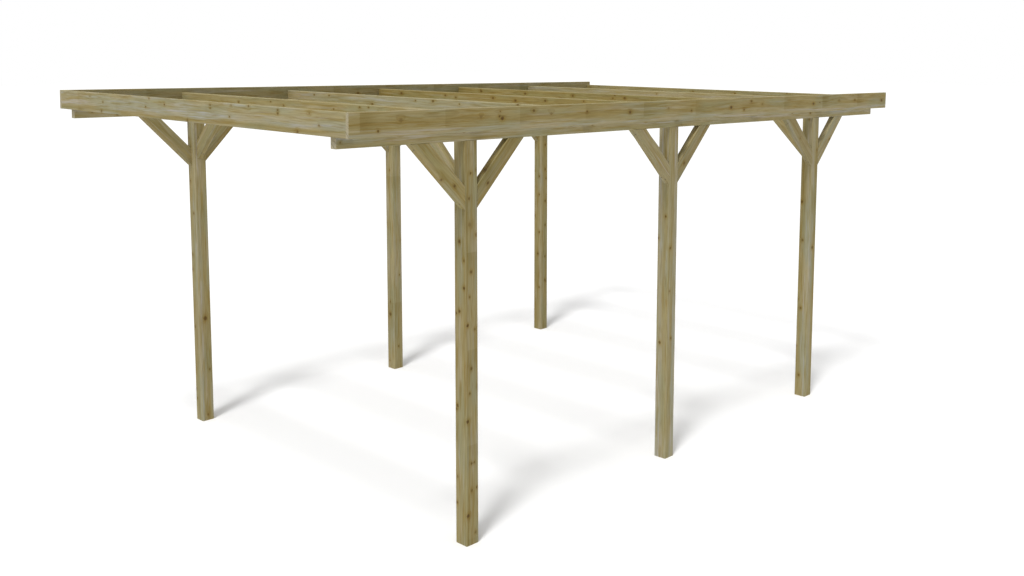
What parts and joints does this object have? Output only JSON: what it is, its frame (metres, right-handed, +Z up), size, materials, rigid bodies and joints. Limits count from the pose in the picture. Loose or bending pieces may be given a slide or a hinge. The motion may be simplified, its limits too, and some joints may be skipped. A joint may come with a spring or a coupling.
{
  "type": "carport",
  "caption": "Open timber carport frame: square posts with knee braces carry two beams and a gently falling roof grid of notched rafters inside edge boards, with no roof covering.",
  "frame": {"origin": "on the ground, in the middle of the roof's outline seen from above", "axes": "+Z up, +Y towards the low rear end, +X towards the right-hand row of posts seen from the front"},
  "size_m": [3.209, 5.4234, 2.47],
  "materials": {
    "treated_pine": "planed, pressure treated softwood with a faint green tint, unpainted",
    "screw_steel": "earth-brown coated steel screw heads, shown in the visual model only"
  },
  "bodies": {
    "root": {"beam_left": "treated_pine", "beam_right": "treated_pine", "brace_front_left_backward": "treated_pine", "brace_front_left_forward": "treated_pine", "brace_front_left_inward": "treated_pine", "brace_front_right_backward": "treated_pine", "brace_front_right_forward": "treated_pine", "brace_front_right_inward": "treated_pine", "brace_middle_left_backward": "treated_pine", "brace_middle_left_forward": "treated_pine", "brace_middle_left_inward": "treated_pine", "brace_middle_right_backward": "treated_pine", "brace_middle_right_forward": "treated_pine", "brace_middle_right_inward": "treated_pine", "brace_rear_left_backward": "treated_pine", "brace_rear_left_forward": "treated_pine", "brace_rear_left_inward": "treated_pine", "brace_rear_right_backward": "treated_pine", "brace_rear_right_forward": "treated_pine", "brace_rear_right_inward": "treated_pine", "front_board": "treated_pine", "post_front_left": "treated_pine", "post_front_right": "treated_pine", "post_middle_left": "treated_pine", "post_middle_right": "treated_pine", "post_rear_left": "treated_pine", "post_rear_right": "treated_pine", "rafter_1": "treated_pine", "rafter_2": "treated_pine", "rafter_3": "treated_pine", "rafter_4": "treated_pine", "rafter_5": "treated_pine", "rafter_6": "treated_pine", "rafter_7": "treated_pine", "side_board_left": "treated_pine", "side_board_right": "treated_pine"}
  },
  "joints": []
}
